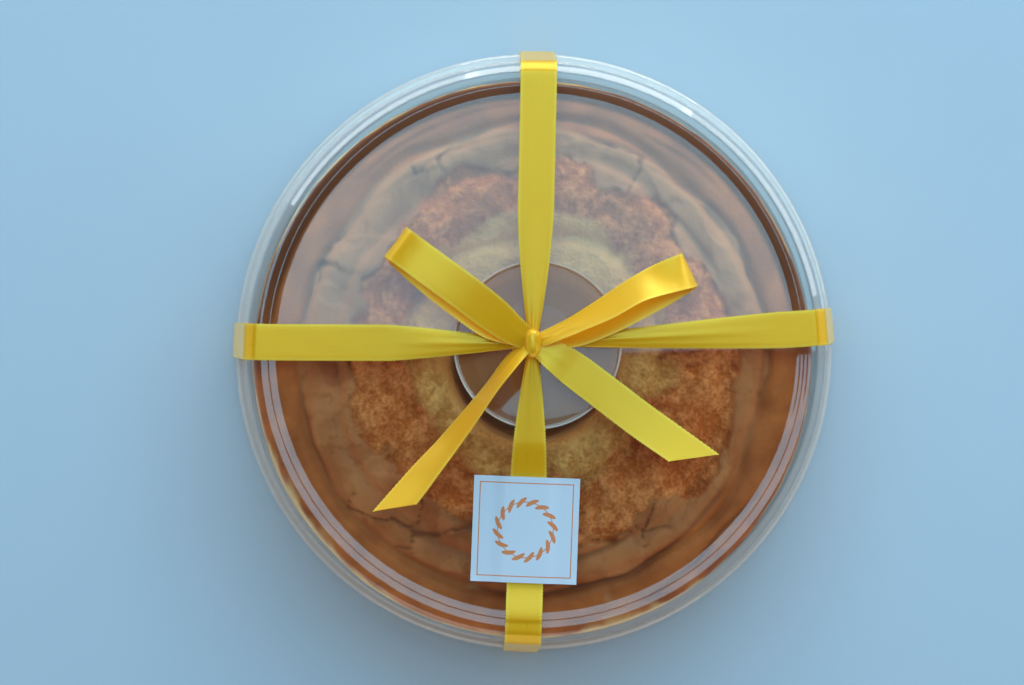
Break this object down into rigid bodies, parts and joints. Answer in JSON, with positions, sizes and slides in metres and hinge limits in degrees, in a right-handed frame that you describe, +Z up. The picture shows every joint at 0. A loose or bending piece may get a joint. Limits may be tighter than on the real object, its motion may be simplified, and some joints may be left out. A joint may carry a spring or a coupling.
{
  "type": "chiffon cake",
  "caption": "Round chiffon cake with a centre hole in a shut clear plastic pack, tied crosswise with a yellow satin ribbon and bow, with a plain square label over the front arm.",
  "frame": {"origin": "on the table, under the middle of the pack", "axes": "+Z up through the cake's hole, -Y to the side with the label, +X to the right of it"},
  "size_m": [0.2182, 0.2183, 0.1106],
  "materials": {
    "cake": "baked crust, brown skin over pale yellow crumb",
    "clear_plastic": "clear glossy formed sheet",
    "satin": "double-face satin ribbon with fine corded edges",
    "label_paper": "smooth white sticker paper"
  },
  "bodies": {
    "root": {"cake": "cake", "pack_base": "clear_plastic", "pack_lid": "clear_plastic", "ribbon": "satin", "label": "label_paper"}
  },
  "joints": []
}
